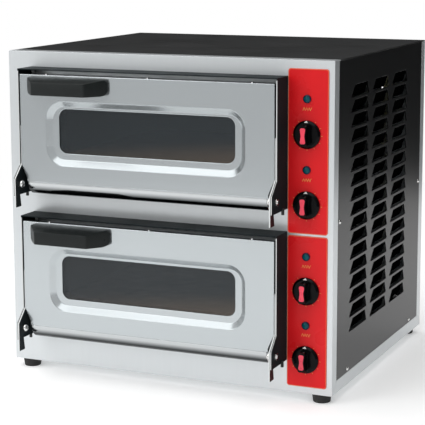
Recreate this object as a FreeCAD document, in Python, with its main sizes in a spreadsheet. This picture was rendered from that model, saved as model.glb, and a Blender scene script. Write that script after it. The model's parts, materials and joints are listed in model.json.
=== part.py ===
"""Countertop pizza oven with two decks, one above the other.

Frame: millimetres, +Z up, the fascia faces -Y, the origin is on the bench under the
centre of the oven's bounding box. Every size is a cell of the sheet "Sizes".
"""
import FreeCAD, Part
import math
import os
import re

V = FreeCAD.Vector
DOC = FreeCAD.newDocument("PizzaOven")

SIZES = {
    # cabinet
    "case_width": 560, "case_depth": 477, "case_height": 515, "foot_height": 14,
    "front_y": -205, "sheet": 1.5, "return_side": 20, "return_top": 25, "tray_height": 20,
    "joint_gap": 0.5,
    # decks: both copies hang from their own hinge pin
    "deck_x": -16.5, "pin_z_lower": 83, "deck_pitch": 237.5, "pin_out": 52,
    "mouth_width": 405, "mouth_low": 19, "mouth_high": 153,
    "chamber_depth": 420, "chamber_low": 5, "chamber_high": 158,
    "stone_depth": 396, "stone_thick": 13, "element_dia": 7,
    # hood round each door
    "hood_width": 444, "hood_out": 44, "hood_top": 184, "ear_out": 65,
    "ear_high": 30, "ear_low": 9, "ear_down": 18.5,
    # door
    "door_width": 435.4, "door_top": 175.3, "seam_up": 3.2, "door_back": 6, "lip": 12,
    "door_sheet": 1.2, "notch_width": 9.5, "window_width": 342, "window_height": 103,
    "window_up": 83, "window_radius": 30, "pane_width": 303, "pane_height": 71,
    "pane_up": 86.5, "pane_radius": 14, "window_sink": 7, "glass_thick": 4.5,
    # hinge
    "arm_thick": 2, "arm_gap": 0.8, "arm_top": 95, "tail_down": 37, "tail_depth": 17,
    "bolt_dia": 6, "nut_width": 10, "head_dia": 11.6, "head_stand": 4,
    "stop_out": 20.5, "stop_gap": 0.5,
    # handle
    "handle_x": -130.4, "handle_width": 143.5, "handle_front": 93, "handle_out": 36,
    "handle_low": 146.5, "handle_high": 166.5, "handle_back": 173, "handle_wall": 12,
    "handle_round": 9, "lip_screw_out": 38,
    # controls
    "control_x": 237, "lamp_z_upper": 471, "control_step": 53.8, "control_pitch": 241,
    "panel_x": 238.7, "panel_width": 64.5, "panel_thick": 1.2, "panel_height_upper": 251,
    "panel_z_upper": 265.2, "panel_height_lower": 237, "panel_z_lower": 24.8,
    "knob_dia": 43, "knob_gap": 0.8, "knob_skirt": 5, "knob_high": 19, "lamp_dia": 12.7,
    "spindle_dia": 6, "control_hole": 10.4,
    # louvres in each side panel
    "louvre_width": 89, "louvre_height": 19, "louvre_step_y": 104.5, "louvre_step_z": 23.1,
    "louvre_y": 120, "louvre_z": 97, "louvre_sink": 6, "louvre_rows": 17,
    # rear
    "gland_x": 236, "gland_z": 62, "gland_bore": 9, "gland_dia": 24, "gland_out": 13,
    "screw_dia": 7, "foot_dia": 31, "foot_inset": 22, "foot_inset_y": 16,
}

sheet = DOC.addObject("Spreadsheet::Sheet", "Sizes")
for row, (alias, value) in enumerate(SIZES.items(), 1):
    sheet.set(f"A{row}", alias)
    sheet.set(f"B{row}", str(value))
    sheet.setAlias(f"B{row}", alias)
DOC.recompute()


class Cells:
    """The sheet's numbers, for outlines worked out in Python."""

    def __getattr__(self, alias):
        return float(sheet.get(alias))


S = Cells()
SUBPARTS = []


def bind(obj, prop, formula):
    """Tie a property to a formula of sheet aliases."""
    obj.setExpression(prop, re.sub(r"\b([a-z]\w*)\b(?!\()", r"Sizes.\1", str(formula)))


def put(obj, at, rotation=None):
    """Place an object at a point given as three formulas."""
    obj.Placement = FreeCAD.Placement(V(), rotation or FreeCAD.Rotation())
    for axis, formula in zip("xyz", at):
        bind(obj, f"Placement.Base.{axis}", formula)
    return obj


def node(obj, label):
    """Mark an object as a sub-part under its own name."""
    obj.Label = label
    SUBPARTS.append(obj)
    return obj


# ---------------------------------------------------------------- Part helpers
TURN = {
    "x": FreeCAD.Rotation(V(0, 1, 0), 90),
    "y": FreeCAD.Rotation(V(1, 0, 0), -90),
    "z": FreeCAD.Rotation(),
}
TURN_OUT = FreeCAD.Rotation(V(1, 0, 0), 90)


def block(size, at):
    """A box from its three size formulas and its low corner."""
    box = DOC.addObject("Part::Box", "Block")
    for prop, formula in zip(("Length", "Width", "Height"), size):
        bind(box, prop, formula)
    return put(box, at)


def rod(radius, length, at, axis="y", top=None):
    """A cylinder along +axis, or a cone when a top radius is given."""
    if top is None:
        piece = DOC.addObject("Part::Cylinder", "Rod")
        bind(piece, "Radius", radius)
    else:
        piece = DOC.addObject("Part::Cone", "Taper")
        bind(piece, "Radius1", radius)
        bind(piece, "Radius2", top)
    bind(piece, "Height", length)
    return put(piece, at, TURN[axis])


def ball(radius, at, squash=None):
    """A sphere, or an ellipsoid flattened along X to the squash formula."""
    if squash is None:
        piece = DOC.addObject("Part::Sphere", "Ball")
        bind(piece, "Radius", radius)
        return put(piece, at)
    piece = DOC.addObject("Part::Ellipsoid", "Dome")
    bind(piece, "Radius1", squash)
    bind(piece, "Radius2", radius)
    bind(piece, "Radius3", radius)
    return put(piece, at, TURN["x"])


def fuse(parts):
    """One solid from several that touch or overlap."""
    union = DOC.addObject("Part::MultiFuse", "Union")
    union.Shapes = parts
    union.Refine = True
    return union


def group(parts):
    """Separate solids kept in one node."""
    pack = DOC.addObject("Part::Compound", "Group")
    pack.Links = parts
    return pack


def cut(base, tools):
    """The base with every tool taken away."""
    result = DOC.addObject("Part::Cut", "Cut")
    result.Base = base
    result.Tool = tools[0] if len(tools) == 1 else group(tools)
    return result


def tray(size, at, wall, open_side):
    """A hollow box with one side open: -y, +y or +z."""
    sx, sy, sz = size
    x, y, z = at
    low = {"x": wall, "y": wall, "z": wall}
    span = {"x": f"{sx} - 2 * {wall}", "y": f"{sy} - 2 * {wall}", "z": f"{sz} - 2 * {wall}"}
    axis = open_side[1]
    span[axis] = f"({dict(x=sx, y=sy, z=sz)[axis]})"
    if open_side[0] == "-":
        low[axis] = f"-{wall}"
    hollow = block((span["x"], span["y"], span["z"]),
                   (f"{x} + {low['x']}", f"{y} + {low['y']}", f"{z} + {low['z']}"))
    return cut(block(size, at), [hollow])


# ------------------------------------------------------------- outline helpers
def outline(corners):
    """Lines and arcs round a closed polygon of (u, v) or (u, v, radius) corners."""
    count = len(corners)
    spots = [V(c[0], c[1], 0) for c in corners]
    radii = [c[2] if len(c) > 2 else 0 for c in corners]
    enters, leaves, middles = [], [], []
    for i in range(count):
        here = spots[i]
        back = (spots[i - 1] - here).normalize()
        ahead = (spots[(i + 1) % count] - here).normalize()
        half = back.getAngle(ahead) / 2
        reach = radii[i] / math.tan(half)
        bisector = (back + ahead).normalize() if radii[i] else V()
        enters.append(here + back * reach)
        leaves.append(here + ahead * reach)
        middles.append(here + bisector * (radii[i] / math.sin(half) - radii[i]))
    edges = []
    for i in range(count):
        if radii[i]:
            edges.append(Part.Arc(enters[i], middles[i], leaves[i]))
        after = (i + 1) % count
        if leaves[i].distanceToPoint(enters[after]) > 1e-6:
            edges.append(Part.LineSegment(leaves[i], enters[after]))
    return edges


def rounded(width, height, radius, u=0, v=0):
    """A rounded rectangle about (u, v)."""
    a, b = width / 2, height / 2
    return outline([(u - a, v - b, radius), (u + a, v - b, radius),
                    (u + a, v + b, radius), (u - a, v + b, radius)])


def circle(radius, u=0, v=0):
    return [Part.Circle(V(u, v, 0), V(0, 0, 1), radius)]


def sketch_on(body, plane, loops):
    """A sketch on one of the body's own origin planes."""
    drawing = body.newObject("Sketcher::SketchObject", "Sketch")
    support = [f for f in body.Origin.OriginFeatures if f.Role == f"{plane}_Plane"][0]
    drawing.AttachmentSupport = [(support, "")]
    drawing.MapMode = "FlatFace"
    for loop in loops:
        for edge in loop:
            drawing.addGeometry(edge, False)
    return drawing


def pad(plane, loops, length, at=(0, 0, 0), backwards=False):
    """A body with one pad: XY pads go to +Z, XZ pads to -Y and YZ pads to +X."""
    body = DOC.addObject("PartDesign::Body", "Body")
    feature = body.newObject("PartDesign::Pad", "Pad")
    feature.Profile = sketch_on(body, plane, loops)
    feature.Reversed = backwards
    bind(feature, "Length", length)
    return put(body, at)


def revolve(loops, at, rotation=None):
    """A body turned about its own Z axis from an outline in XZ."""
    body = DOC.addObject("PartDesign::Body", "Body")
    drawing = sketch_on(body, "XZ", loops)
    feature = body.newObject("PartDesign::Revolution", "Revolution")
    feature.Profile = drawing
    feature.ReferenceAxis = (drawing, ["V_Axis"])
    feature.Angle = 360
    return put(body, at, rotation)


def loft(sections, at):
    """A solid between outlines drawn in XZ, each with its own y."""
    drawings = []
    for loop, y in sections:
        drawing = DOC.addObject("Sketcher::SketchObject", "Section")
        for edge in loop:
            drawing.addGeometry(edge, False)
        drawing.Placement = FreeCAD.Placement(V(0, y, 0), FreeCAD.Rotation(V(1, 0, 0), 90))
        drawings.append(drawing)
    solid = DOC.addObject("Part::Loft", "Loft")
    solid.Sections = drawings
    solid.Solid = True
    solid.Ruled = True
    return put(solid, at)


# ------------------------------------------------------------------- positions
LEFT = "(-case_width / 2)"
RIGHT = "(case_width / 2)"
BASE = "foot_height"
TOP = "(foot_height + case_height)"
REAR = "(front_y + case_depth)"
PIN = {"lower": "pin_z_lower", "upper": "(pin_z_lower + deck_pitch)"}
KNOBS = [f"(lamp_z_upper - control_step * {k} - control_pitch * {deck})"
         for deck in (0, 1) for k in (1, 3)]
LAMPS = [f"(lamp_z_upper - control_step * {k} - control_pitch * {deck})"
         for deck in (0, 1) for k in (0, 2)]
SIDES = (-1, 1)


# ------------------------------------------------------------------ the cabinet
def control_z(k):
    """Height of control k, counted down the panel: lamp, knob, lamp, knob, then again."""
    return S.lamp_z_upper - S.control_step * (k % 4) - S.control_pitch * (k // 4)


def mitred_return(depth, top, inwards):
    """Outline of a corner flange, cut at 45 degrees where it meets the base tray."""
    base = S.foot_height
    return outline([(0, base), (inwards * depth, base + depth), (inwards * depth, top), (0, top)])


def make_fascia():
    """Front sheet with both mouths and its side, top and bottom returns."""
    half, low, high = S.case_width / 2, S.foot_height, S.foot_height + S.case_height
    mouth_mid = (S.mouth_high + S.mouth_low) / 2
    mouths = [rounded(S.mouth_width, S.mouth_high - S.mouth_low, 4, S.deck_x,
                      S.pin_z_lower + deck * S.deck_pitch + mouth_mid) for deck in (0, 1)]
    holes = [circle(S.control_hole / 2, S.control_x, control_z(k)) for k in range(8)]
    edge = outline([(-half, low), (half, low), (half, high), (-half, high)])
    face = pad("XZ", [edge] + mouths + holes, "sheet", (0, "front_y + sheet", 0))
    flange = mitred_return(S.return_side, high - S.sheet, 1)
    sides = [pad("YZ", [flange], "sheet", (x, "front_y", 0)) for x in (LEFT, f"{RIGHT} - sheet")]
    top = block(("case_width", "return_top", "sheet"), (LEFT, "front_y", f"{TOP} - sheet"))
    bottom = block(("case_width - 4 * sheet", "return_side - sheet", "sheet"),
                   (f"{LEFT} + 2 * sheet", "front_y + sheet", f"{BASE} + 1.2 * sheet"))
    node(fuse([face, top, bottom] + sides), "front_fascia")


def make_top_cover():
    """Flat lid over the cabinet with short inner lips."""
    plate = block(("case_width", "case_depth - return_top - joint_gap", "sheet"),
                  (LEFT, "front_y + return_top + joint_gap", f"{TOP} - sheet"))
    lips = [block(("sheet", "case_depth - 100", "10"),
                  (x, "front_y + 50", f"{TOP} - sheet - 10"))
            for x in (f"{LEFT} + 2 * sheet", f"{RIGHT} - 3 * sheet")]
    node(fuse([plate] + lips), "top_cover")


def make_side_panel(side):
    """Side sheet with three columns of louvres pressed inwards."""
    t, high = S.sheet, S.foot_height + S.case_height - 1.2 * S.sheet
    low = S.foot_height + S.tray_height + S.joint_gap
    front = S.front_y + S.return_side + S.joint_gap
    rear = S.front_y + S.case_depth - S.return_side - S.joint_gap
    edge = outline([(front, low), (rear, low), (rear, high), (front, high)])
    plate = pad("YZ", [edge], "sheet", (f"{RIGHT} - sheet" if side > 0 else LEFT, 0, 0))
    half, tall, sink = S.louvre_width / 2, S.louvre_height, S.louvre_sink
    mouth = outline([(-half, 0, 2), (half, 0, 2), (half - 8, tall, 4), (19 - half, tall, 4)])
    inner = side * (S.case_width / 2 - t)
    slope = [(0, tall), (0, tall + t), (-t, tall + t), (-sink - t, 1), (-sink, 0.2)]
    flap = outline([(inner + side * u, v) for u, v in slope])
    holes, flaps = [], []
    for column in range(3):
        for row in range(int(S.louvre_rows)):
            y = f"front_y + louvre_y + louvre_step_y * {column}"
            z = f"louvre_z + louvre_step_z * {row}"
            x = f"{RIGHT} - 2 * sheet" if side > 0 else f"{LEFT} - sheet"
            holes.append(pad("YZ", [mouth], "3 * sheet", (x, y, z)))
            flaps.append(pad("XZ", [flap], "louvre_width - 8",
                             (0, f"{y} + louvre_width / 2 - 4", z)))
    screws = [rod("screw_dia / 4", "4 * sheet", (f"{x} - 2 * sheet", y, z), "x")
              for x, y, z in side_screw_places() if (x == RIGHT) == (side > 0)]
    node(fuse([cut(plate, holes + screws)] + flaps),
         "right_side_panel" if side > 0 else "left_side_panel")


def side_screw_places():
    """Where the screws hold each side panel: on its front, rear and bottom edges."""
    spots = [("28", "254"), ("case_depth - 28", "254"), ("71", "12"), ("case_depth - 71", "12")]
    return [(x, f"front_y + {y}", f"{BASE} + {z} + 14")
            for x in (LEFT, RIGHT) for y, z in spots]


def make_rear_panel():
    """Back sheet with side returns, vent slots and the hole of the cable gland."""
    half, low, high = S.case_width / 2, S.foot_height, S.foot_height + S.case_height - 1.2 * S.sheet
    edge = outline([(-half, low), (half, low), (half, high), (-half, high)])
    vents = [rounded(150, 6, 3, x, 470 - 14 * row) for x in (-130, 130) for row in range(4)]
    gland = circle(S.gland_dia / 3, S.gland_x, S.gland_z)
    face = pad("XZ", [edge, gland] + vents, "sheet", (0, REAR, 0))
    flange = mitred_return(S.return_side, high, -1)
    sides = [pad("YZ", [flange], "sheet", (x, REAR, 0)) for x in (LEFT, f"{RIGHT} - sheet")]
    node(fuse([face] + sides), "rear_panel")


def make_base_tray():
    """Bottom sheet with upstands along both sides, mitred at the corners."""
    low, tall, t = S.foot_height, S.tray_height, S.sheet
    front, rear = S.front_y + 1.2 * t, S.front_y + S.case_depth - 1.2 * t
    miss = S.joint_gap
    ramp = [(front, low), (rear, low), (rear, low + 1.2 * t - miss),
            (rear + 1.2 * t - miss - tall, low + tall), (front - 1.2 * t + miss + tall, low + tall),
            (front, low + 1.2 * t - miss)]
    plate = block(("case_width - 2 * sheet", "case_depth - 2.4 * sheet", "sheet"),
                  (f"{LEFT} + sheet", "front_y + 1.2 * sheet", BASE))
    sides = [pad("YZ", [outline(ramp)], "sheet", (x, 0, 0)) for x in (LEFT, f"{RIGHT} - sheet")]
    node(fuse([plate] + sides), "base_tray")


def make_feet():
    """Rubber feet under the corners, each hollow round its screw."""
    r, tall = S.foot_dia / 2, S.foot_height
    section = [outline([(6, 0), (r - 2, 0, 1.5), (r, tall), (0, tall), (0, 6), (6, 6)])]
    feet = [revolve(section, (x, y, 0))
            for x in (f"{LEFT} + foot_inset", f"{RIGHT} - foot_inset")
            for y in ("front_y + foot_inset_y", f"{REAR} - foot_inset_y")]
    node(group(feet), "feet")


def make_inner_walls():
    """Sheet between the decks and the wall that keeps the controls cool."""
    node(block((f"deck_x + hood_width / 2 + 1.5 * sheet - {LEFT} - 10", "case_depth - 30",
                "sheet"), (f"{LEFT} + 10", "front_y + 4", "pin_z_lower + 200")),
         "deck_divider")
    node(block(("sheet", "case_depth - 30", "case_height - 4 * sheet"),
               ("deck_x + hood_width / 2 + 2 * sheet", "front_y + 4", f"{BASE} + 2.2 * sheet")),
         "control_bulkhead")


def make_screws():
    """Pan-head screws of both side panels and of the rear panel."""
    screws = []
    for x, y, z in side_screw_places():
        out = 1 if x == RIGHT else -1
        head = ball("screw_dia / 2", (x, y, z), "screw_dia / 3.5")
        half = block(("screw_dia", "2 * screw_dia", "2 * screw_dia"),
                     (f"{x} - screw_dia" if out > 0 else x, f"{y} - screw_dia",
                      f"{z} - screw_dia"))
        shank = rod("screw_dia / 4.4", "6", (f"{x} - 6" if out > 0 else x, y, z), "x")
        screws.append(fuse([cut(head, [half]), shank]))
    node(group(screws), "cabinet_screws")


# ------------------------------------------------------------------ the decks
def element_runs(z):
    """A sheathed heating element folded in its plane, with both ends out at the back."""
    step, front, back = 60, 45, 345
    runs, bends = [], []
    for i in range(6):
        x = f"deck_x + {step * (i - 2.5)}"
        reach = 445 if i in (0, 5) else back
        runs.append(rod("element_dia / 2", reach - front, (x, f"front_y + {front}", z), "y"))
    for i in range(5):
        at_front = i % 2 == 0
        bend = DOC.addObject("Part::Torus", "Bend")
        bind(bend, "Radius1", step / 2)
        bind(bend, "Radius2", "element_dia / 2")
        bend.Angle3 = 180
        turn = FreeCAD.Rotation(V(0, 0, 1), 180 if at_front else 0)
        y = front if at_front else back
        bends.append(put(bend, (f"deck_x + {step * (i - 2)}", f"front_y + {y}", z), turn))
    return fuse(runs + bends)


def element_holes(pin):
    """Clearance for the ends of both elements through the back of the chamber."""
    return [rod("element_dia / 2 + 0.5", "80", (f"deck_x + {x}", "front_y + 400", f"{pin} + {z}"))
            for x in (-150, 150) for z in ("chamber_low + 7.5", "chamber_high - 8.5")]


def make_chamber(deck):
    """Oven chamber, its stone, its two elements, its insulation and the mouth's seal."""
    pin = PIN[deck]
    shell = tray(("mouth_width + 2 * sheet", "chamber_depth", "chamber_high - chamber_low"),
                 ("deck_x - mouth_width / 2 - sheet", "front_y + sheet", f"{pin} + chamber_low"),
                 "sheet", "-y")
    ledges = [block(("8", "stone_depth", "sheet"), (x, "front_y + 8", f"{pin} + mouth_low"))
              for x in ("deck_x - mouth_width / 2", "deck_x + mouth_width / 2 - 8")]
    node(fuse([cut(shell, element_holes(pin))] + ledges), f"chamber_{deck}")
    node(block(("mouth_width - 3", "stone_depth", "stone_thick"),
               ("deck_x - mouth_width / 2 + 1.5", "front_y + 8", f"{pin} + mouth_low + sheet")),
         f"stone_{deck}")
    node(group([element_runs(f"{pin} + chamber_low + 7.5"),
                element_runs(f"{pin} + chamber_high - 8.5")]), f"heating_elements_{deck}")
    low, high = {"lower": (f"{BASE} + 2 * sheet + 1", "pin_z_lower + 199"),
                 "upper": ("pin_z_lower + 202", f"{TOP} - 2 * sheet - 1")}[deck]
    jacket = block((f"deck_x + hood_width / 2 + sheet - {LEFT} - 10", "case_depth - 32",
                    f"{high} - ({low})"), (f"{LEFT} + 10", "front_y + 5", low))
    room = block(("mouth_width + 2 * sheet + 1", "chamber_depth", "chamber_high - chamber_low + 1"),
                 ("deck_x - mouth_width / 2 - sheet - 0.5", "front_y + 2",
                  f"{pin} + chamber_low - 0.5"))
    node(cut(jacket, [room] + element_holes(pin)), f"insulation_{deck}")
    mid = (S.mouth_high + S.mouth_low) / 2
    tall = S.mouth_high - S.mouth_low
    node(pad("XZ", [rounded(S.mouth_width + 19, tall + 19, 10, 0, mid),
                    rounded(S.mouth_width + 2, tall + 2, 5, 0, mid)],
             "door_back - 0.3", ("deck_x", "front_y", pin)), f"mouth_seal_{deck}")


def make_hood(deck):
    """Surround of one door: a roof and two cheeks that carry the hinge bolts."""
    pin, half = PIN[deck], "hood_width / 2"
    roof = block(("hood_width", "hood_out", "sheet"),
                 (f"deck_x - {half}", "front_y - hood_out", f"{pin} + hood_top - sheet"))
    cheek = [(0, -S.ear_down), (-S.ear_out, -S.ear_down, 2), (-S.ear_out, S.ear_low, 3),
             (-S.hood_out, S.ear_high, 3), (-S.hood_out, S.hood_top), (0, S.hood_top)]
    parts = [roof]
    for side in SIDES:
        x = f"deck_x + {half} - sheet" if side > 0 else f"deck_x - {half}"
        hole = rod("bolt_dia / 2 + 0.05", "3 * sheet", (f"{x} - sheet", "front_y - pin_out", pin),
                   "x")
        parts.append(cut(pad("YZ", [outline(cheek)], "sheet", (x, "front_y", pin)), [hole]))
        x = f"deck_x + {half} - sheet - 6" if side > 0 else f"deck_x - {half} + sheet"
        parts.append(block(("6", "sheet", "hood_top - ear_high"),
                           (x, "front_y - sheet", f"{pin} + ear_high - sheet")))
    node(fuse(parts), f"hood_{deck}")


def make_hinge_hardware():
    """Bolts, nuts, edge plugs and door stops of both decks, each kind in one node."""
    bolts, nuts, plugs, stops = [], [], [], []
    for pin in PIN.values():
        for side in SIDES:
            face = f"deck_x + {side} * (hood_width / 2 - sheet - arm_gap - arm_thick - 0.3)"
            here = (face, "front_y - pin_out", pin)
            head = f"{face} - {side} * head_stand"
            collar = rod("head_dia / 2 - 0.5", "head_stand", (head if side > 0 else face,
                                                              *here[1:]), "x")
            dome = ball("head_dia / 2", (head, *here[1:]), "head_dia / 2.6")
            keep = block(("head_dia", "2 * head_dia", "2 * head_dia"),
                         (head if side > 0 else f"{head} - head_dia",
                          "front_y - pin_out - head_dia", f"{pin} - head_dia"))
            slot = block(("3", "2 * head_dia", "1.6"),
                         (f"{head} - {side} * 4 - 1.5", "front_y - pin_out - head_dia",
                          f"{pin} - 0.8"))
            length = "10.5"
            shank = rod("bolt_dia / 2", length, (face if side > 0 else f"{face} - {length}",
                                                 *here[1:]), "x")
            bolts.append(fuse([cut(dome, [keep, slot]), collar, shank]))
            outer = f"deck_x + {side} * hood_width / 2"
            nuts.append(put(hexagon(side), (outer, *here[1:])))
            plugs.append(make_plug(side, pin))
            stops.append(rod("3.2", "pin_out - tail_down - stop_gap",
                             (f"deck_x + {side} * (hood_width / 2 - 5)",
                              "front_y - pin_out + tail_down + stop_gap", f"{pin} - 6.5"), "y"))
    for pieces, label in ((bolts, "hinge_bolts"), (nuts, "hinge_nuts"), (plugs, "edge_plugs"),
                          (stops, "door_stops")):
        node(group(pieces), label)


def hexagon(side):
    """A nut standing out from x = 0 on the given side."""
    r = S.nut_width / math.sqrt(3)
    corners = [(r * math.cos(math.radians(60 * i)), r * math.sin(math.radians(60 * i)))
               for i in range(6)]
    return pad("YZ", [outline(corners), circle(S.bolt_dia / 2 + 0.02)], "4.2",
               backwards=side < 0)


def make_plug(side, pin):
    """Rubber plug pushed on the lower edge of a cheek, its slot open upwards."""
    x = f"deck_x + {side} * (hood_width / 2 + 0.5)"
    stem = rod("2.4", "10", (x, "front_y - stop_out", f"{pin} - ear_down - 6"), "z")
    slot = block(("sheet + 0.02", "8", "8"),
                 (f"deck_x + {side} * (hood_width / 2 - sheet / 2) - sheet / 2 - 0.01",
                  "front_y - stop_out - 4", f"{pin} - ear_down"))
    inner = block(("4", "8", "8"),
                  (f"deck_x + {side} * (hood_width / 2 - sheet / 2 - 2.7) - 2",
                   "front_y - stop_out - 4", f"{pin} - ear_down"))
    return cut(stem, [fuse([slot, inner])])


# ------------------------------------------------------------------- the doors
def lip_screw_places(deck):
    """Where three screws hold the skin's top lip down on the liner."""
    return [(f"deck_x + {x}", "front_y - lip_screw_out", f"{PIN[deck]} + door_top")
            for x in (-172, 6, 180)]


def make_skin(deck):
    """Outer sheet of a door: folded lips and a sunk frame round the window."""
    pin, half = PIN[deck], S.door_width / 2
    t, face, back = S.door_sheet, -S.hood_out, -S.hood_out + S.door_sheet
    inset = half - S.notch_width
    edge = outline([(-inset, S.seam_up), (inset, S.seam_up), (inset, S.ear_low, 2),
                    (half, S.ear_high), (half, S.door_top, 1), (-half, S.door_top, 1),
                    (-half, S.ear_high), (-inset, S.ear_low, 2)])
    frame = rounded(S.window_width, S.window_height, S.window_radius, 0, S.window_up)
    plate = pad("XZ", [edge, frame], "door_sheet",
                ("deck_x", "front_y - hood_out + door_sheet", pin))
    draw = S.window_height - S.pane_height - 18
    w, h, r = S.window_width, S.window_height, S.window_radius

    def ring(grow, shrink):
        return rounded(w + grow - shrink, h + grow - shrink, r + (grow - shrink) / 2, 0,
                       S.window_up)

    deep = face + S.window_sink
    outer = loft([(ring(2 * t, 0), face + 0.3), (ring(2 * t, draw + 4), deep + t)],
                 ("deck_x", "front_y", pin))
    inner = loft([(ring(0, -2), face - 0.8), (ring(0, draw + 4), deep)],
                 ("deck_x", "front_y", pin))
    pane = pad("XZ", [rounded(S.pane_width, S.pane_height, S.pane_radius, 0, S.pane_up)],
               "30", ("deck_x", "front_y - hood_out + 30", pin))
    lips = [block(("door_width", "lip", "door_sheet"),
                  ("deck_x - door_width / 2", "front_y - hood_out + door_sheet / 2",
                   f"{pin} + door_top - door_sheet"))]
    lips += [block(("door_sheet", "lip", "door_top - ear_high - 2"),
                   (x, "front_y - hood_out + door_sheet / 2", f"{pin} + ear_high + 2"))
             for x in ("deck_x - door_width / 2", "deck_x + door_width / 2 - door_sheet")]
    holes = [rod("2.7", "20", (f"deck_x + handle_x + {64 * s}", "front_y - hood_out - 10",
                               f"{pin} + handle_high - 9")) for s in SIDES]
    holes += [rod("1.6", "4", (x, y, f"{z} - 3"), "z") for x, y, z in lip_screw_places(deck)]
    node(cut(fuse([plate, cut(outer, [inner, pane])] + lips), holes), f"door_skin_{deck}")


def make_liner(deck):
    """Inner pan of a door, rolled forward under the skin, with a tunnel to the glass."""
    pin, t = PIN[deck], S.door_sheet
    back, roll, top = -S.door_back, -S.hood_out, S.door_top - 2.8
    low, bend = -S.ear_down, 20
    half = "(door_width / 2 - 1.7)"
    heel = back - 8
    profile = outline([(back, 0), (heel, low), (roll, low, bend), (roll, S.seam_up - 0.2),
                       (roll + t + 0.1, S.seam_up - 0.2), (roll + t + 0.1, top), (back, top)])
    hollow = outline([(back - t, 0.25), (heel - 0.8, low + t), (roll + t, low + t, bend - t),
                      (roll + t, 3.5), (roll - 9, 3.5), (roll - 9, top - t),
                      (back - t, top - t)])
    body = pad("YZ", [profile], f"2 * {half}", (f"deck_x - {half}", "front_y", pin))
    room = pad("YZ", [hollow], f"2 * {half} - 2 * door_sheet",
               (f"deck_x - {half} + door_sheet", "front_y", pin))
    corner = "(notch_width + 0.5)"
    notches = [block((f"{corner} + 1", "hood_out + 16", "ear_high + ear_down + 2"),
                     (x, "front_y - hood_out - 8", f"{pin} - ear_down - 1"))
               for x in (f"deck_x - {half} - 1", f"deck_x + {half} - {corner}")]
    cap = outline([(back - 1, 0.3), (heel - 0.9, low + 0.6), (roll + 0.6, low + 0.6, bend - 0.6),
                   (roll + 0.6, S.seam_up - 0.2), (roll + t + 0.1, S.seam_up - 0.2),
                   (roll + t + 0.1, S.ear_high), (back - 1, S.ear_high)])
    caps = [pad("YZ", [cap], "door_sheet", (x, "front_y", pin))
            for x in (f"deck_x - {half} + {corner}", f"deck_x + {half} - {corner} - door_sheet")]
    tunnel_w, tunnel_h = S.pane_width + 9, S.pane_height + 9
    tunnel = pad("XZ", [rounded(tunnel_w + 2 * t, tunnel_h + 2 * t, 16, 0, S.pane_up)],
                 "hood_out - window_sink - glass_thick - 4.6 - door_back",
                 ("deck_x", "front_y - door_back", pin))
    bore = pad("XZ", [rounded(tunnel_w, tunnel_h, 15, 0, S.pane_up)], "60",
               ("deck_x", "front_y + 5", pin))
    pan = fuse([cut(body, [room]), tunnel])
    holes = [rod("1.6", "9", (x, y, f"{z} - 8"), "z") for x, y, z in lip_screw_places(deck)]
    node(fuse([cut(pan, [bore] + notches + holes)] + caps), f"door_liner_{deck}")


def make_window(deck):
    """Door glass and the seal that it lies on."""
    pin = PIN[deck]
    w, h, r = S.pane_width + 14, S.pane_height + 12, S.pane_radius + 4
    back = "front_y - hood_out + window_sink + door_sheet + 0.2 + glass_thick"
    node(pad("XZ", [rounded(w, h, r, 0, S.pane_up)], "glass_thick", ("deck_x", back, pin)),
         f"door_glass_{deck}")
    node(pad("XZ", [rounded(w, h, r, 0, S.pane_up), rounded(w - 10, h - 8, r - 4, 0, S.pane_up)],
             "2.5", ("deck_x", f"{back} + 2.5", pin)), f"glass_seal_{deck}")


def make_handle(deck):
    """Handle on two splayed legs, its top sloping up to the door, and the door's screws."""
    pin = PIN[deck]
    w, front, out = S.handle_width / 2, S.handle_front / 2, S.handle_out
    wall, foot = S.handle_wall, S.handle_wall + 1
    outer = outline([(-w, 0), (w, 0), (w, -4), (front, -out, 5), (-front, -out, 5), (-w, -4)])
    gap = outline([(foot - w, 1), (w - foot, 1), (w - foot, -3, 4), (front - 5, wall - out, 5),
                   (5 - front, wall - out, 5), (foot - w, -3, 4)])
    at = ("deck_x + handle_x", "front_y - hood_out", f"{pin} + handle_low")
    bar = DOC.addObject("Part::Common", "Bar")
    bar.Base = pad("XY", [outer], "handle_back - handle_low", at)
    bar.Tool = pad("XZ", [rounded(S.handle_width, S.handle_back - S.handle_low, S.handle_round, 0,
                                  (S.handle_back - S.handle_low) / 2)], "handle_out", at)
    hollow = pad("XY", [gap], "handle_high - handle_low + 6",
                 (*at[:2], f"{pin} + handle_low - 10"))
    rise, drop = S.handle_high - S.handle_low, S.handle_back - S.handle_low
    slope = outline([(1, drop + 0.2), (-out - 1, rise - 0.2), (-out - 1, drop + 9), (1, drop + 9)])
    wedge = pad("YZ", [slope], "2 * handle_width",
                ("deck_x + handle_x - handle_width", *at[1:]))
    screw_at = [(f"deck_x + handle_x + {64 * s}", "front_y - hood_out + door_sheet",
                 f"{pin} + handle_high - 9") for s in SIDES]
    holes = [rod("2.5", "12", (x, "front_y - hood_out - 11", z)) for x, _, z in screw_at]
    node(cut(bar, [hollow, wedge] + holes), f"door_handle_{deck}")
    screws = [fuse([rod("2.45", "11", (x, "front_y - hood_out - 9.5", z)),
                    rod("4.5", "3", (x, y, z))]) for x, y, z in screw_at]
    screws += [fuse([rod("1.5", "7.5", (x, y, f"{z} - 7"), "z"),
                     rod("2.9", "1.7", (x, y, z), "z", "1.9")])
               for x, y, z in lip_screw_places(deck)]
    node(group(screws), f"door_screws_{deck}")


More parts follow.
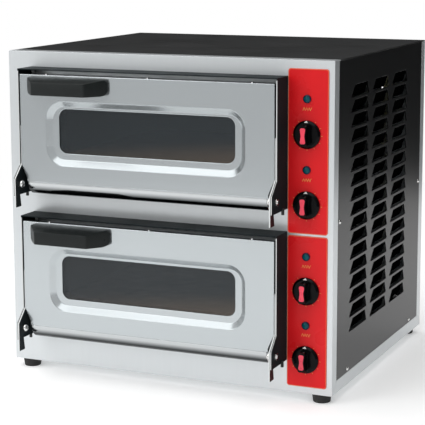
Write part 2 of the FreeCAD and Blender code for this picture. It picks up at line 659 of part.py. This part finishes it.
def make_arms(deck):
    """Side plates of a door: hinge eye, ear in front and a tail that meets the stop."""
    pin = PIN[deck]
    out, eye = S.ear_out, S.pin_out
    shape = outline([(-out, -S.tail_down, 1), (-out, S.ear_low, 3), (-S.hood_out, S.ear_high),
                     (-S.hood_out + 2, S.ear_high + 2), (-S.hood_out + 2, S.arm_top, 4),
                     (-10, S.arm_top, 4), (-10, 4, 3), (-34, 4), (-40, -11), (-eye, -11),
                     (S.tail_depth - out, -S.tail_down, 1)])
    for side, label in ((-1, "left"), (1, "right")):
        reach = "(hood_width / 2 - sheet - arm_gap)"
        x = f"deck_x + {reach} - arm_thick" if side > 0 else f"deck_x - {reach}"
        eye_hole = circle(S.bolt_dia / 2 + 0.08, -eye, 0)
        node(pad("YZ", [shape, eye_hole], "arm_thick", (x, "front_y", pin)),
             f"hinge_arm_{label}_{deck}")


# ---------------------------------------------------------------- the controls
def make_controls():
    """Two face plates, thermostats with spindles, knobs with grips, and pilot lamps."""
    for deck, shift in (("upper", 0), ("lower", 4)):
        tall, low = getattr(S, f"panel_height_{deck}"), getattr(S, f"panel_z_{deck}")
        holes = [circle(S.control_hole / 2, S.control_x, control_z(shift + k)) for k in range(4)]
        plate = rounded(S.panel_width, tall, 4, S.panel_x, low + tall / 2)
        node(pad("XZ", [plate] + holes, "panel_thick", (0, "front_y", 0)),
             f"control_panel_{deck}")
    bodies, bezels, lenses = [], [], []
    for index, z in enumerate(KNOBS, 1):
        bodies.append(make_thermostat(z))
        make_knob(index, z)
    for z in LAMPS:
        at = ("control_x", "front_y - panel_thick", z)
        r = S.lamp_dia / 2
        collar = revolve([outline([(r - 1.6, 0), (r, 0), (r, 2.2, 0.8), (r - 1.6, 3)])], at,
                         TURN_OUT)
        barrel = revolve([outline([(3.4, -22), (4.9, -22), (4.9, 0.4), (r - 1.2, 0.4),
                                   (r - 1.2, 1), (3.4, 1)])], at, TURN_OUT)
        bezels.append(fuse([collar, barrel]))
        lens = outline([(0, -6), (3.3, -6), (3.3, 1.1), (r - 1.7, 1.1), (r - 1.7, 2.6), (0, 4.2)])
        lenses.append(revolve([lens], at, TURN_OUT))
    node(group(bodies), "thermostats")
    node(group(bezels), "lamp_bezels")
    node(group(lenses), "lamp_lenses")


def make_thermostat(z):
    """Thermostat behind the fascia: a can with a neck through to the front."""
    can = block(("36", "30", "34"), ("control_x - 18", "front_y + sheet + 1", f"{z} - 17"))
    neck = rod("control_hole / 2 - 0.2", "8", ("control_x", "front_y - panel_thick - 0.4", z))
    bore = rod("spindle_dia / 2 + 0.06", "22", ("control_x", "front_y - 10", z))
    return cut(fuse([can, neck]), [bore])


def make_knob(index, z):
    """Turned knob with a waisted wing grip, a coloured insert, and its spindle."""
    back = "front_y - panel_thick - knob_gap"
    r, skirt, high = S.knob_dia / 2, S.knob_skirt, S.knob_high
    disc = revolve([outline([(0, 0), (r, 0), (r, 2, 0.6), (r - 3, skirt, 1.5), (0, skirt)])],
                   ("control_x", back, z), TURN_OUT)
    waist = outline([(-6, -r + 6, 3), (6, -r + 6, 3), (4.4, 0, 12), (6, r - 6, 3), (-6, r - 6, 3),
                     (-4.4, 0, 12)])
    wing = pad("XZ", [waist], "knob_high - 2", ("control_x", f"{back} - 2", z))
    seat = outline([(-4.6, -12, 2.6), (4.6, -12, 2.6), (2.8, 0, 12), (4.6, 12, 2.6),
                    (-4.6, 12, 2.6), (-2.8, 0, 12)])
    recess = pad("XZ", [seat], "3", ("control_x", f"{back} - knob_high + 1.2", z))
    socket = rod("spindle_dia / 2", "13", ("control_x", f"{back} - 12.5", z))
    node(cut(fuse([disc, wing]), [recess, socket]), f"knob_{index}")
    node(pad("XZ", [seat], "1.6", ("control_x", f"{back} - knob_high + 1.2", z)),
         f"knob_grip_{index}")
    node(rod("spindle_dia / 2", "22", ("control_x", f"{back} - 12.5", z)),
         f"knob_spindle_{index}")


def make_gland():
    """Cable gland in the rear panel: hexagon, domed nut and inner locknut round a bore."""
    r, bore, out = S.gland_dia / 2, S.gland_bore / 2, S.gland_out
    section = outline([(bore, -9), (r * 0.95, -9), (r * 0.95, -2.0), (r * 0.64, -2.0),
                       (r * 0.64, 0), (r, 0), (r, 5), (r - 1.5, 5.5), (r - 1.5, out - 3),
                       (r - 4, out, 1.5), (bore, out)])
    node(revolve([section], ("gland_x", REAR, "gland_z"), TURN["y"]), "cable_gland")


# ------------------------------------------------------------------- build all
make_fascia()
make_top_cover()
for wall_side in SIDES:
    make_side_panel(wall_side)
make_rear_panel()
make_base_tray()
make_feet()
make_inner_walls()
make_screws()
for level in ("upper", "lower"):
    make_chamber(level)
    make_hood(level)
    make_skin(level)
    make_liner(level)
    make_window(level)
    make_handle(level)
    make_arms(level)
make_hinge_hardware()
make_controls()
make_gland()
DOC.recompute()

for item in DOC.Objects:
    if {"Invalid", "Error"} & set(item.State):
        raise ValueError(f"{item.Name} ({item.Label}) failed: {item.State}")
for piece in SUBPARTS:
    if piece.Shape.isNull() or not piece.Shape.isValid() or not piece.Shape.Solids:
        raise ValueError(f"{piece.Label} has no valid solid")

os.makedirs("parts", exist_ok=True)
for piece in SUBPARTS:
    piece.Shape.exportStep(f"parts/{piece.Label}.step")
    box = piece.Shape.BoundBox
    print(f"{piece.Label:24s} solids {len(piece.Shape.Solids):2d}  volume "
          f"{piece.Shape.Volume / 1000:9.2f} cm3  x {box.XMin:7.1f} {box.XMax:7.1f}  "
          f"y {box.YMin:7.1f} {box.YMax:7.1f}  z {box.ZMin:7.1f} {box.ZMax:7.1f}")
print(len(SUBPARTS), "sub-parts")
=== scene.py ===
"""Looks of the countertop pizza oven with two decks.

Metres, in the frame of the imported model: +Z up, the fascia faces -Y, +X to the right.
"""

import json
import math

import bmesh
import bpy
from mathutils import Matrix, Vector


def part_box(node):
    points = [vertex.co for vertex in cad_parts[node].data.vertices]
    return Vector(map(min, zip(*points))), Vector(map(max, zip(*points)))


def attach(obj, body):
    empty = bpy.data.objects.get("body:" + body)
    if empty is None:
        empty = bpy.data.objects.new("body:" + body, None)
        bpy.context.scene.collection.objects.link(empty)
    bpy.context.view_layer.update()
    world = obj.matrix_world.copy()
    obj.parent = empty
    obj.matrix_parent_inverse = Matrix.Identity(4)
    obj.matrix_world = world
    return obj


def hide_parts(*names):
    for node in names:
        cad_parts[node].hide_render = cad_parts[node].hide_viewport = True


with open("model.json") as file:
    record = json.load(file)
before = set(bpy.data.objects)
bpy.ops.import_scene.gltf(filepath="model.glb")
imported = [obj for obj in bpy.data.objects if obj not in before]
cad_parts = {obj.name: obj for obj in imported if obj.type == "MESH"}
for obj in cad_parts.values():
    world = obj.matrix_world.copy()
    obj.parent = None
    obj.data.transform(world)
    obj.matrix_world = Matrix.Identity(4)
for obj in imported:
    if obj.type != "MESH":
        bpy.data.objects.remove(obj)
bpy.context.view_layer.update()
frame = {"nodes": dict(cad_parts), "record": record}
nodes = frame["nodes"]
MM = 0.001
DECKS = ("upper", "lower")
KNOBS = (1, 2, 3, 4)


# ------------------------------------------------------------------- materials
MIX_FACTOR, MIX_A, MIX_B, MIX_RESULT = 0, 6, 7, 2


class Shader:
    """A principled material and short ways to feed its sockets."""

    def __init__(self, name, colour, rough, metal=0.0, **sockets):
        self.mat = bpy.data.materials.new(name)
        self.mat.use_nodes = True
        self.tree = self.mat.node_tree
        self.bsdf = self.tree.nodes["Principled BSDF"]
        self.colour, self.rough, self.normal = Vector(colour), rough, None
        self.set("Base Color", (*colour, 1))
        self.set("Roughness", rough)
        self.set("Metallic", metal)
        for socket, value in sockets.items():
            self.set(socket.replace("_", " "), value)

    def set(self, socket, value):
        self.bsdf.inputs[socket].default_value = value

    def add(self, kind, **values):
        node = self.tree.nodes.new(f"ShaderNode{kind}")
        for key, value in values.items():
            if key in node.inputs:
                node.inputs[key].default_value = value
            else:
                setattr(node, key, value)
        return node

    def link(self, out, into):
        self.tree.links.new(out, into)

    def noise(self, scale, detail=2.0):
        """Noise in the row frame, stretched by a scale for each axis, in cells per metre."""
        place = self.add("TexCoord")
        stretch = self.add("Mapping", Scale=scale)
        noise = self.add("TexNoise", Scale=1.0, Detail=detail)
        self.link(place.outputs["Object"], stretch.inputs["Vector"])
        self.link(stretch.outputs["Vector"], noise.inputs["Vector"])
        return noise.outputs["Fac"]

    def spread(self, value, low, high, start=0.3, end=0.7):
        """A value from start to end turned into one from low to high."""
        span = self.add("MapRange")
        for socket, number in (("From Min", start), ("From Max", end), ("To Min", low),
                               ("To Max", high)):
            span.inputs[socket].default_value = number
        self.link(value, span.inputs["Value"])
        return span.outputs["Result"]

    def coordinate(self, kind, axis):
        """One coordinate of the Object, Generated or Normal vector of a point."""
        place, split = self.add("TexCoord"), self.add("SeparateXYZ")
        self.link(place.outputs[kind], split.inputs["Vector"])
        return split.outputs[axis]

    def calculate(self, operation, *values):
        """The result of a Math node on sockets or numbers."""
        node = self.add("Math", operation=operation)
        for value, socket in zip(values, node.inputs):
            if isinstance(value, bpy.types.NodeSocket):
                self.link(value, socket)
            else:
                socket.default_value = value
        return node.outputs["Value"]

    def blend(self, factor, first, second):
        """Base colour from a first to a second one, each a socket or a triple."""
        mix = self.add("Mix", data_type="RGBA")
        self.link(factor, mix.inputs[MIX_FACTOR])
        for source, socket in ((first, mix.inputs[MIX_A]), (second, mix.inputs[MIX_B])):
            if isinstance(source, bpy.types.NodeSocket):
                self.link(source, socket)
            else:
                socket.default_value = (*source, 1)
        self.hue = mix.outputs[MIX_RESULT]
        self.link(self.hue, self.bsdf.inputs["Base Color"])
        return self

    def mottle(self, scale, amount, detail=3.0):
        """Colour that drifts between a darker and a lighter value of itself."""
        return self.blend(self.spread(self.noise(scale, detail), 0, 1),
                          self.colour * (1 - amount), self.colour * (1 + amount))

    def uneven(self, scale, amount, detail=3.0):
        """Roughness that varies over the surface."""
        value = self.spread(self.noise(scale, detail), self.rough - amount, self.rough + amount)
        self.link(value, self.bsdf.inputs["Roughness"])
        return self

    def soft_edges(self, radius):
        """Edges shaded as if rounded to a radius."""
        bevel = self.add("Bevel", samples=6, Radius=radius)
        self.normal = bevel.outputs["Normal"]
        self.link(self.normal, self.bsdf.inputs["Normal"])
        return self

    def bump(self, scale, height, strength=0.5, detail=2.0):
        """Fine relief of a height in metres."""
        bump = self.add("Bump", Strength=strength, Distance=height)
        self.link(self.noise(scale, detail), bump.inputs["Height"])
        if self.normal:
            self.link(self.normal, bump.inputs["Normal"])
        self.normal = bump.outputs["Normal"]
        self.link(self.normal, self.bsdf.inputs["Normal"])
        return self

    def lit_edges(self, colour, radius, amount):
        """Edges painted part of the way to another colour, as a painted highlight."""
        bevel = self.add("Bevel", samples=6, Radius=radius)
        flat = self.add("NewGeometry")
        dot = self.add("VectorMath", operation="DOT_PRODUCT")
        self.link(bevel.outputs["Normal"], dot.inputs[0])
        self.link(flat.outputs["Normal"], dot.inputs[1])
        return self.blend(self.spread(dot.outputs["Value"], amount, 0, 0.75, 0.97), self.hue,
                          colour)


def brushed(name, colour, rough, along, streak=0.5, edge=0.7 * MM, metal=1.0):
    """Sheet steel brushed along one axis."""
    fine, coarse = [1400.0] * 3, [160.0] * 3
    fine["xyz".index(along)], coarse["xyz".index(along)] = 9.0, 2.0
    steel = Shader(name, colour, rough, metal)
    steel.mottle(coarse, 0.06 * streak, detail=4)
    steel.uneven(fine, 0.09 * streak, detail=3).soft_edges(edge)
    steel.bump(fine, 0.02 * MM, 0.12 * streak, detail=3)
    return steel.mat


def enamel(name, colour, rough, edge_light, **sockets):
    """Baked enamel with slight orange peel and a painted highlight along its edges."""
    paint = Shader(name, colour, rough, **sockets)
    paint.mottle((9, 9, 9), 0.10).uneven((14, 14, 14), 0.05).soft_edges(0.5 * MM)
    paint.bump((900, 900, 900), 0.04 * MM, 0.25).lit_edges(edge_light, 0.35 * MM, 0.5)
    return paint.mat


def moulded(name, colour, rough, pebble=700, edge=0.5 * MM, **sockets):
    """Moulded plastic or rubber with a fine grain."""
    resin = Shader(name, colour, rough, **sockets)
    resin.mottle((60, 60, 60), 0.12).uneven((120, 120, 120), 0.06).soft_edges(edge)
    resin.bump((pebble,) * 3, 0.03 * MM, 0.3)
    return resin.mat


def sheet_with_lit_edges(name, colour, rough, gloss, highlight, is_edge, keep_below=1.0):
    """Dark sheet with a painted highlight on its edges, up to a share of its height.

    is_edge gives the axis of the normal to look at, and the edge value where the normal lies
    across and along that axis.
    """
    axis, across, along = is_edge
    sheet = Shader(name, colour, rough, Specular_IOR_Level=gloss)
    sheet.mottle((9, 9, 9), 0.12).uneven((14, 14, 14), 0.05)
    turn = sheet.calculate("ABSOLUTE", sheet.coordinate("Normal", axis))
    edge = sheet.spread(turn, across, along, 0.55, 0.8)
    below = sheet.spread(sheet.coordinate("Generated", "Z"), 1, 0, keep_below - 0.004, keep_below)
    # Painted highlight: the edge faces take the pale colour.
    sheet.blend(sheet.calculate("MULTIPLY", edge, below), sheet.hue, highlight)
    return sheet.mat


def make_glass():
    """Tinted pane with a painted brown glow along its foot, higher to the right, standing in for
    the lit stone seen through it.
    """
    glass = Shader("tinted_glass", PANE, 0.04, Alpha=0.55)
    glass.uneven((18, 18, 18), 0.02)
    height = glass.calculate("MULTIPLY_ADD", glass.coordinate("Generated", "X"), -0.35,
                             glass.coordinate("Generated", "Z"))
    # Painted glow: brown low down on the pane, fading to the dark tint higher up.
    glass.blend(glass.spread(height, 0, 1, -0.33, 0.16), PANE_PAINTED_GLOW, PANE)
    return glass.mat


def make_liner_steel():
    """Satin pan, with painted shade on its faces that turn downward, where its roll turns under
    the door.
    """
    steel = Shader("satin_liner", LINER, 0.13, 1.0)
    steel.uneven((9, 1400, 1400), 0.03).soft_edges(0.7 * MM)
    turn = steel.coordinate("Normal", "Z")
    # Painted shade: faces whose normal points down go dark.
    steel.blend(steel.spread(turn, 0, 1, -0.62, -0.18), LINER_PAINTED_SHADE, LINER)
    return steel.mat


def make_panel_enamel():
    """Black enamel with painted shade: deep black and dull on the faces of the louvres inside the
    sheet.
    """
    rough, gloss = 0.30, 0.38
    paint = Shader("black_louvred_enamel", (0.004, 0.0045, 0.005), rough)
    paint.mottle((9, 9, 9), 0.10).soft_edges(0.5 * MM)
    paint.bump((900, 900, 900), 0.04 * MM, 0.25)
    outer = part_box("right_side_panel")[1].x
    from_middle = paint.calculate("ABSOLUTE", paint.coordinate("Object", "X"))
    # Painted shade: faces set in from the outer surface of the sheet go black, rough and without
    # gloss.
    louvre_shade = paint.spread(from_middle, 1, 0, outer - 0.9 * MM, outer - 0.3 * MM)
    for socket, value, inside in (("Roughness", rough, 1.0), ("Specular IOR Level", gloss, 0.0)):
        paint.link(paint.spread(louvre_shade, value, inside, 0, 1), paint.bsdf.inputs[socket])
    paint.blend(louvre_shade, paint.hue, (0.0008, 0.0008, 0.0008))
    return paint.mat


def make_stone():
    stone = Shader("firebrick", (0.62, 0.50, 0.38), 0.9)
    stone.mottle((45, 45, 45), 0.22, detail=8).bump((600, 600, 600), 0.3 * MM, 0.6, 6)
    return stone.mat


def make_wool():
    wool = Shader("rock_wool", (0.50, 0.44, 0.22), 1.0)
    wool.mottle((90, 260, 90), 0.35, detail=8).bump((500, 1500, 500), 1.0 * MM, 0.8, 6)
    return wool.mat


STEEL, DOOR_STEEL = (0.67, 0.70, 0.715), (0.48, 0.515, 0.53)
# The second colour of the liner is painted shade for its downward-turned roll.
LINER, LINER_PAINTED_SHADE = (0.52, 0.54, 0.55), (0.028, 0.032, 0.033)
# The second colour of the pane is a painted glow of the lit stone seen through it.
PANE, PANE_PAINTED_GLOW = (0.028, 0.036, 0.042), (0.115, 0.090, 0.070)
# Painted highlights for the edges of the dark hood and hinge-arm plates.
HOOD_EDGE_HIGHLIGHT, ARM_EDGE_HIGHLIGHT = (0.62, 0.64, 0.64), (0.72, 0.74, 0.74)
look = {
    "stainless": brushed("brushed_stainless", STEEL, 0.30, "z", 0.12, 1.0 * MM, metal=0.55),
    "door_steel": brushed("brushed_door", DOOR_STEEL, 0.19, "x", 0.12, 1.6 * MM, metal=0.85),
    "liner": make_liner_steel(),
    "chamber": brushed("heat_dulled_steel", (0.36, 0.34, 0.31), 0.42, "y", streak=1.2),
    # The last colour given to each enamel is a painted highlight along its edges.
    "black": enamel("black_enamel", (0.012, 0.0125, 0.013), 0.42, (0.05, 0.05, 0.05)),
    "louvred": make_panel_enamel(),
    "hood": sheet_with_lit_edges("dark_hood", (0.014, 0.019, 0.021), 0.5, 0.02, HOOD_EDGE_HIGHLIGHT,
                      ("Y", 0, 1), 0.985),
    "arm": sheet_with_lit_edges("dark_plate", (0.013, 0.017, 0.019), 0.40, 0.08, ARM_EDGE_HIGHLIGHT, ("X", 1, 0)),
    "zinc": brushed("galvanised", (0.45, 0.46, 0.47), 0.45, "y"),
    "stone": make_stone(),
    "sheath": brushed("element_sheath", (0.10, 0.09, 0.085), 0.5, "y"),
    "wool": make_wool(),
    "silicone": moulded("black_silicone", (0.012, 0.012, 0.012), 0.6),
    "red": enamel("red_enamel", (0.70, 0.010, 0.014), 0.30, (0.60, 0.12, 0.06),
                 Specular_IOR_Level=0.2),
    "knob": moulded("gloss_black", (0.0015, 0.0015, 0.002), 0.16, 200, 0.8 * MM,
                    Specular_IOR_Level=0.11),
    "coral": moulded("coral_insert", (0.80, 0.045, 0.09), 0.30, 300, 0.5 * MM),
    "spindle": brushed("turned_steel", (0.5, 0.5, 0.5), 0.3, "y"),
    "rim": moulded("navy_rim", (0.003, 0.010, 0.035), 0.22, 300, 0.3 * MM,
                   Specular_IOR_Level=0.3),
    "lens": moulded("teal_lens", (0.002, 0.075, 0.095), 0.12, 200, 0.6 * MM,
                    Specular_IOR_Level=0.18),
    "cream": moulded("cream_moulding", (0.6, 0.57, 0.5), 0.5),
    "rubber": moulded("black_rubber", (0.014, 0.014, 0.014), 0.75, 900),
    "bright": brushed("bright_plating", (0.75, 0.75, 0.74), 0.16, "x", 0.4, 0.3 * MM),
    "glass": make_glass(),
    "handle": moulded("black_phenolic", (0.010, 0.0125, 0.0125), 0.42, 1100, 1.0 * MM,
                      Specular_IOR_Level=0.22),
    "gland": moulded("black_nylon", (0.012, 0.012, 0.012), 0.5),
    "gold": moulded("gold_print", (0.85, 0.42, 0.09), 0.45, 300, 0.1 * MM),
    "edging": moulded("pale_edging", (0.85, 0.22, 0.08), 0.45, 300, 0.1 * MM),
    "white": moulded("white_print", (0.80, 0.80, 0.78), 0.45, 300, 0.1 * MM),
}
by_slot = {
    "stainless": "stainless", "liner_steel": "liner", "chamber_steel": "chamber",
    "black_sheet": "black", "hood_steel": "hood", "arm_steel": "arm", "zinc_sheet": "zinc",
    "firebrick": "stone", "element_sheath": "sheath", "rock_wool": "wool",
    "silicone": "silicone", "red_panel": "red", "knob_black": "knob", "knob_red": "coral",
    "spindle_steel": "spindle", "lamp_rim": "rim", "lamp_lens": "lens",
    "thermostat_body": "cream", "black_rubber": "rubber", "bright_fastener": "bright",
    "door_glass": "glass", "handle_black": "handle", "gland_black": "gland",
}
slot_of = {part["node"]: part["material_slot"] for part in frame["record"]["subparts"]}


def wear(obj, mat):
    """Give an object one material over its whole surface."""
    obj.data.materials.clear()
    obj.data.materials.append(mat)
    for face in obj.data.polygons:
        face.material_index = 0


for name, obj in nodes.items():
    wear(obj, look[by_slot[slot_of[name]]])
for deck in DECKS:
    wear(nodes[f"door_skin_{deck}"], look["door_steel"])
for side in ("left", "right"):
    wear(nodes[f"{side}_side_panel"], look["louvred"])


# ------------------------------------------------------------------ mesh helpers
def middle(name):
    low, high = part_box(name)
    return (low + high) / 2


def piece(name, bm, mat, body, smooth=False):
    """Turn a bmesh into a piece that rides on a body."""
    bmesh.ops.recalc_face_normals(bm, faces=bm.faces)
    mesh = bpy.data.meshes.new(name)
    bm.to_mesh(mesh)
    bm.free()
    obj = bpy.data.objects.new(name, mesh)
    bpy.context.scene.collection.objects.link(obj)
    wear(obj, look[mat])
    if smooth:
        for face in mesh.polygons:
            face.use_smooth = True
    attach(obj, body)
    return obj


SHARP, CREASE = 30, 40


def soften(name, mat, body, radius):
    """Stand in for a node with a copy of it whose sharp edges are rounded."""
    bm = bmesh.new()
    bm.from_mesh(nodes[name].data)
    bm.transform(nodes[name].matrix_world)
    bmesh.ops.remove_doubles(bm, verts=bm.verts, dist=0.005 * MM)
    bmesh.ops.dissolve_limit(bm, angle_limit=math.radians(3), verts=bm.verts, edges=bm.edges)
    edges = [edge for edge in bm.edges if edge.is_manifold
             and edge.calc_face_angle() > math.radians(SHARP)]
    bmesh.ops.bevel(bm, geom=edges, offset=radius, segments=4, profile=0.5, affect="EDGES",
                    clamp_overlap=True)
    soft = piece(f"soft_{name}", bm, mat, body, smooth=True)
    soft.data.set_sharp_from_angle(angle=math.radians(CREASE))
    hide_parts(name)


def slab(bm, outline, y_front, thick):
    """A closed plate in the XZ plane from an outline of (x, z) points."""
    front = [bm.verts.new((x, y_front, z)) for x, z in outline]
    back = [bm.verts.new((x, y_front + thick, z)) for x, z in outline]
    bm.faces.new(front)
    bm.faces.new(back[::-1])
    for i in range(len(outline)):
        j = (i + 1) % len(outline)
        bm.faces.new((front[i], back[i], back[j], front[j]))


def ring_slab(bm, outer, inner, y_front, thick):
    """A closed frame between two outlines with the same number of points."""
    loops = [[bm.verts.new((x, y, z)) for x, z in loop]
             for loop, y in ((outer, y_front), (inner, y_front), (inner, y_front + thick),
                             (outer, y_front + thick))]
    count = len(outer)
    for k in range(4):
        a, b = loops[k], loops[(k + 1) % 4]
        for i in range(count):
            j = (i + 1) % count
            bm.faces.new((a[i], a[j], b[j], b[i]))


def rounded(x, z, width, height, radius, steps=6):
    """Points round a rectangle with rounded corners about (x, z)."""
    points = []
    for turn, (sx, sz) in enumerate(((1, -1), (1, 1), (-1, 1), (-1, -1))):
        cx, cz = x + sx * (width / 2 - radius), z + sz * (height / 2 - radius)
        for k in range(steps + 1):
            a = math.radians(90 * (turn - 1) + 90 * k / steps)
            points.append((cx + radius * math.cos(a), cz + radius * math.sin(a)))
    return points


def stroke(bm, points, width, y_front, thick):
    """A printed line through (x, z) points."""
    for (x0, z0), (x1, z1) in zip(points, points[1:]):
        along = Vector((x1 - x0, z1 - z0)).normalized()
        across = Vector((-along.y, along.x)) * width / 2
        reach = along * width * 0.35
        a, b = Vector((x0, z0)) - reach, Vector((x1, z1)) + reach
        slab(bm, [a - across, b - across, b + across, a + across], y_front, thick)


# ------------------------------------------------------------------ panel print
PRINT = 0.12 * MM


def make_trim(deck):
    """Pale line round the face plate of a deck."""
    low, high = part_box(f"control_panel_{deck}")
    x, z = (low.x + high.x) / 2, (low.z + high.z) / 2
    w, h = high.x - low.x, high.z - low.z
    bm = bmesh.new()
    ring_slab(bm, rounded(x, z, w - 1.0 * MM, h - 1.0 * MM, 3.6 * MM),
              rounded(x, z, w - 2.2 * MM, h - 2.2 * MM, 3.0 * MM), low.y - PRINT, PRINT)
    piece(f"panel_trim_{deck}", bm, "edging", "cabinet")


TICKS, FIRST_TICK, TICK_STEP = 11, 55, 29
TICK_INNER, TICK_OUTER = 22.4, 24.2


def make_scale(index):
    """Ticks round a knob, and the element sign above it."""
    at = middle(f"knob_{index}")
    deck = "upper" if index < 3 else "lower"
    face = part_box(f"control_panel_{deck}")[0].y
    bm = bmesh.new()
    for k in range(TICKS):
        a = math.radians(FIRST_TICK - TICK_STEP * k)
        out = Vector((math.cos(a), math.sin(a)))
        p, q = out * TICK_INNER * MM, out * TICK_OUTER * MM
        stroke(bm, [(at.x + p.x, at.z + p.y), (at.x + q.x, at.z + q.y)], 0.5 * MM, face - PRINT,
               PRINT)
    sign_z = at.z + 38.5 * MM
    zig = [(at.x + (k - 3.5) * 2.0 * MM, sign_z + (2.3 if k % 2 else -2.3) * MM) for k in range(8)]
    stroke(bm, zig, 0.5 * MM, face - PRINT, PRINT)
    piece(f"dial_print_{index}", bm, "gold", "cabinet")


def make_pointer(index):
    """White pointer on the sloping rim of a knob."""
    low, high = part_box(f"knob_{index}")
    at = middle(f"knob_{index}")
    rim = high.z - at.z
    corners = [(-3.2, -2.9, 5.05), (3.2, -2.9, 5.05), (0, -0.1, 2.3)]
    bm = bmesh.new()
    front, back = [[bm.verts.new((at.x + x * MM, high.y - (h - sink) * MM, at.z + rim + z * MM))
                    for x, z, h in corners] for sink in (0, 0.5)]
    bm.faces.new(front)
    bm.faces.new(back)
    for i in range(3):
        j = (i + 1) % 3
        bm.faces.new((front[i], back[i], back[j], front[j]))
    piece(f"knob_pointer_{index}", bm, "white", f"control_knob_{index}")


for deck in DECKS:
    make_trim(deck)
    soften(f"door_handle_{deck}", "handle", f"door_{deck}", 3.0 * MM)
for index in KNOBS:
    make_scale(index)
    make_pointer(index)


# ----------------------------------------------------------------------- studio
def area(name, spot, target, width, height, power):
    """White rectangular light, sizes in metres and power in watts."""
    data = bpy.data.lights.new(name, "AREA")
    data.shape = "RECTANGLE"
    data.size, data.size_y, data.energy = width, height, power
    lamp = bpy.data.objects.new(name, data)
    lamp.location = spot
    lamp.rotation_euler = (Vector(target) - Vector(spot)).to_track_quat("-Z", "Y").to_euler()
    bpy.context.scene.collection.objects.link(lamp)


FLOOR_RADIUS, FLOOR_GLOW = 1.9, 0.3


def make_floor():
    """Faintly glowing white paper under the oven."""
    bm = bmesh.new()
    bmesh.ops.create_circle(bm, cap_ends=True, radius=FLOOR_RADIUS, segments=128)
    mesh = bpy.data.meshes.new("floor")
    bm.to_mesh(mesh)
    bm.free()
    floor = bpy.data.objects.new("floor", mesh)
    bpy.context.scene.collection.objects.link(floor)
    paper = Shader("white_paper", (0.90, 0.90, 0.90), 0.95)
    paper.mottle((1.5, 1.5, 1.5), 0.01)
    paper.set("Emission Color", (1, 1, 1, 1))
    paper.set("Emission Strength", FLOOR_GLOW)
    floor.data.materials.append(paper.mat)


ROOM_AXIS = (0.5, 0.866, 0)
ROOM_LIGHT, ROOM_DARK, ROOM_TURN = 0.68, 0.03, (-0.25, 0.30)


def make_world():
    """A white backdrop, with a room that is pale in front of the oven and dark to its right."""
    world = bpy.data.worlds.new("studio")
    world.use_nodes = True
    bpy.context.scene.world = world
    tree = world.node_tree
    back = tree.nodes["Background"]
    back.inputs["Color"].default_value = (1, 1, 1, 1)
    place = tree.nodes.new("ShaderNodeTexCoord")
    lean = tree.nodes.new("ShaderNodeVectorMath")
    lean.operation = "DOT_PRODUCT"
    lean.inputs[1].default_value = ROOM_AXIS
    ramp = tree.nodes.new("ShaderNodeMapRange")
    ramp.interpolation_type = "SMOOTHSTEP"
    for socket, number in (("From Min", ROOM_TURN[0]), ("From Max", ROOM_TURN[1]),
                           ("To Min", ROOM_LIGHT), ("To Max", ROOM_DARK)):
        ramp.inputs[socket].default_value = number
    path = tree.nodes.new("ShaderNodeLightPath")
    most = tree.nodes.new("ShaderNodeMath")
    most.operation = "MAXIMUM"
    tree.links.new(place.outputs["Generated"], lean.inputs[0])
    tree.links.new(lean.outputs["Value"], ramp.inputs["Value"])
    tree.links.new(ramp.outputs["Result"], most.inputs[0])
    tree.links.new(path.outputs["Is Camera Ray"], most.inputs[1])
    tree.links.new(most.outputs["Value"], back.inputs["Strength"])


CAMERA_AT, CAMERA_TURN = (1.0178, -2.3200, 0.7158), (23.890, 9.644, -0.19)
LENS, SHIFT_UP = 128.08, -0.053


def make_camera():
    """Camera of the photograph: CAMERA_TURN is yaw, pitch and roll in degrees."""
    data = bpy.data.cameras.new("camera")
    data.sensor_width = 36
    data.lens = LENS
    data.shift_y = SHIFT_UP
    camera = bpy.data.objects.new("camera", data)
    yaw, pitch, roll = (math.radians(a) for a in CAMERA_TURN)
    turn = (Matrix.Rotation(yaw, 4, "Z") @ Matrix.Rotation(math.pi / 2 - pitch, 4, "X")
            @ Matrix.Rotation(roll, 4, "Z"))
    camera.matrix_world = Matrix.Translation(CAMERA_AT) @ turn
    bpy.context.scene.collection.objects.link(camera)
    bpy.context.scene.camera = camera


make_floor()
make_world()
make_camera()
area("overhead", (-0.3, -0.3, 3.0), (0, 0, 0), 4.6, 4.6, 88)
area("front_left", (-1.6, -2.4, 1.5), (0, 0, 0.3), 1.4, 1.4, 16)
bpy.context.scene.view_settings.view_transform = "Standard"
